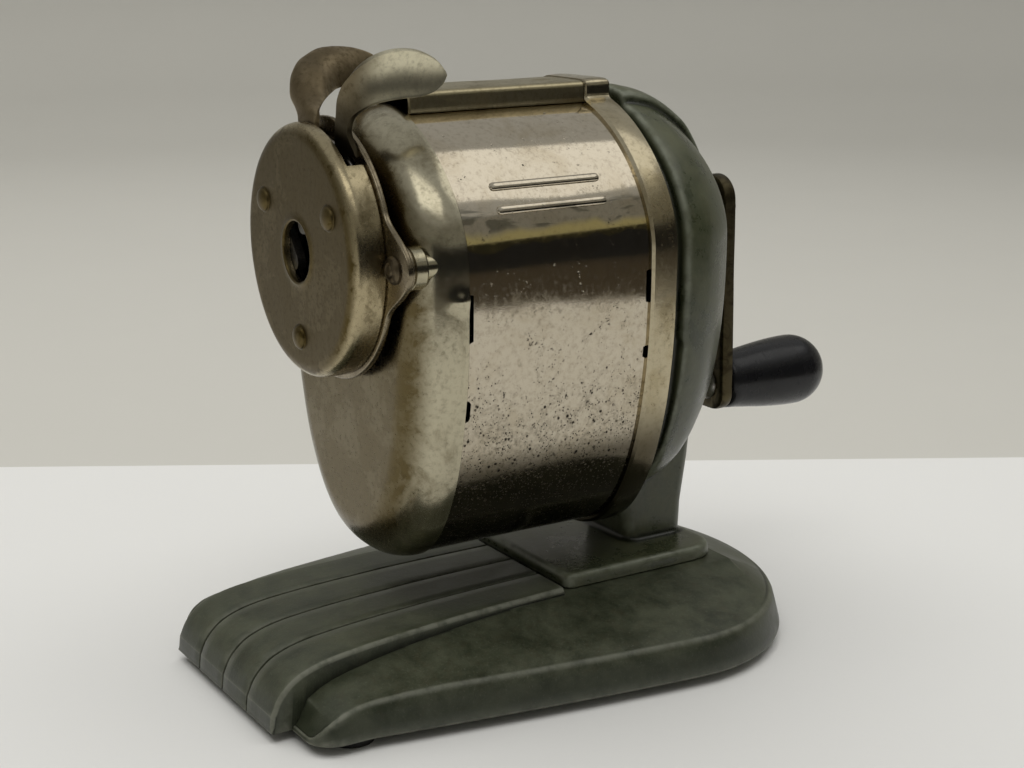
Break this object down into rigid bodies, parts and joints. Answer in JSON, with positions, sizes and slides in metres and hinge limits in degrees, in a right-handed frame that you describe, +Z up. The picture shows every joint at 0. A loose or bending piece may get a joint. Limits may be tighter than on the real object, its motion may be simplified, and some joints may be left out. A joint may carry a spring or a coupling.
{
  "type": "crank pencil sharpener",
  "caption": "Desk pencil sharpener with a streamlined cast base, a round sheet-metal shavings receptacle, a self-feeding chuck with squeeze wings, and a hand crank behind.",
  "frame": {"origin": "on the table, in the middle of the overall box", "axes": "+Z up, -Y to the front where the pencil goes in, +X to the right seen from the front"},
  "size_m": [0.0914, 0.149, 0.1233],
  "materials": {
    "base_enamel": "dark green-grey mottled satin enamel, worn light on the creases",
    "case_enamel": "dark green-grey satin enamel with soft reflections",
    "rubber": "matt black rubber",
    "steel": "plain steel",
    "dark_steel": "dark oiled steel",
    "cutter_steel": "hardened steel with bright edges",
    "bronze": "sintered bronze",
    "arm_steel": "brownish worn pressed steel",
    "black_gloss": "glossy black",
    "worn_nickel": "nickel plate with brown and olive tarnish",
    "band_nickel": "mirror nickel plate with yellow streaks and black pits",
    "dial_nickel": "satin brownish nickel plate"
  },
  "bodies": {
    "frame": {"base": "base_enamel", "base_feet": "rubber", "foot_screws": "steel", "flange_screws": "steel", "gear_case": "case_enamel", "ring_gear": "dark_steel", "shaft_bush": "bronze"},
    "crank": {"crank_shaft": "steel", "thrust_washer": "steel", "cutter_carrier": "dark_steel", "cutter_pins": "steel", "crank_arm": "arm_steel", "crank_washer": "steel", "crank_nut": "steel", "handle_pin": "steel"},
    "handle": {"handle_knob": "black_gloss"},
    "right_cutter": {"cutter_right": "cutter_steel"},
    "left_cutter": {"cutter_left": "cutter_steel"},
    "receptacle": {"front_cap": "worn_nickel", "receptacle_band": "band_nickel", "band_trim": "band_nickel", "rear_ring": "worn_nickel", "top_bar": "worn_nickel", "bar_rivets": "worn_nickel", "rod_bushings": "worn_nickel", "feed_spring_right": "steel", "feed_spring_left": "steel"},
    "chuck": {"dial_cap": "dial_nickel", "chuck_plate": "worn_nickel", "guide_tube": "steel", "guide_rods": "steel", "rod_stops": "steel", "wing_spring": "steel", "jaw_pins": "steel"},
    "right_wing": {"wing_right": "worn_nickel"},
    "left_wing": {"wing_left": "dial_nickel"},
    "jaw_a": {"jaw_top_right": "dark_steel"},
    "jaw_b": {"jaw_top_left": "dark_steel"},
    "jaw_c": {"jaw_bottom": "dark_steel"}
  },
  "joints": [
    {"name": "crank_spin", "type": "hinge", "parent": "frame", "child": "crank", "pos_m": [0, 0.033, 0.0857], "axis": [0, 1, 0], "continuous": true},
    {"name": "handle_spin", "type": "hinge", "parent": "crank", "child": "handle", "pos_m": [0, 0.06, 0.0467], "axis": [0, 1, 0], "continuous": true},
    {"name": "right_cutter_spin", "type": "hinge", "parent": "crank", "child": "right_cutter", "pos_m": [0.008, 0.016, 0.0857], "axis": [-0.1822, 0.9833, 0], "continuous": true},
    {"name": "left_cutter_spin", "type": "hinge", "parent": "crank", "child": "left_cutter", "pos_m": [-0.008, 0.016, 0.0857], "axis": [0.1822, 0.9833, 0], "continuous": true},
    {"name": "receptacle_slide", "type": "slide", "parent": "frame", "child": "receptacle", "axis": [0, -1, 0], "range_m": [0, 0.06]},
    {"name": "chuck_feed", "type": "slide", "parent": "receptacle", "child": "chuck", "axis": [0, -1, 0], "range_m": [0, 0.028], "stiffness_N_per_m": 150, "springref_m": -0.012, "deforming": ["feed_spring_right", "feed_spring_left"]},
    {"name": "right_wing_squeeze", "type": "hinge", "parent": "chuck", "child": "right_wing", "pos_m": [0, -0.0502, 0.0857], "axis": [0, 1, 0], "range_deg": [-7, 0], "stiffness_Nm_per_rad": 0.2, "springref_deg": 8.59},
    {"name": "left_wing_squeeze", "type": "hinge", "parent": "chuck", "child": "left_wing", "pos_m": [0, -0.0514, 0.0857], "axis": [0, 1, 0], "range_deg": [0, 7]},
    {"name": "jaw_a_swing", "type": "hinge", "parent": "chuck", "child": "jaw_a", "pos_m": [0.01412, -0.053, 0.09385], "axis": [0, 1, 0], "range_deg": [0, 12]},
    {"name": "jaw_b_swing", "type": "hinge", "parent": "chuck", "child": "jaw_b", "pos_m": [-0.01412, -0.053, 0.09385], "axis": [0, 1, 0], "range_deg": [0, 12]},
    {"name": "jaw_c_swing", "type": "hinge", "parent": "chuck", "child": "jaw_c", "pos_m": [0, -0.053, 0.0694], "axis": [0, 1, 0], "range_deg": [0, 12]}
  ],
  "couplings": [
    {"joint": "right_cutter_spin", "follows": "crank_spin", "ratio": -2.3333},
    {"joint": "left_cutter_spin", "follows": "crank_spin", "ratio": -2.3333},
    {"joint": "left_wing_squeeze", "follows": "right_wing_squeeze", "ratio": -1},
    {"joint": "jaw_a_swing", "follows": "right_wing_squeeze", "ratio": -1.714},
    {"joint": "jaw_b_swing", "follows": "right_wing_squeeze", "ratio": -1.714},
    {"joint": "jaw_c_swing", "follows": "right_wing_squeeze", "ratio": -1.714}
  ]
}
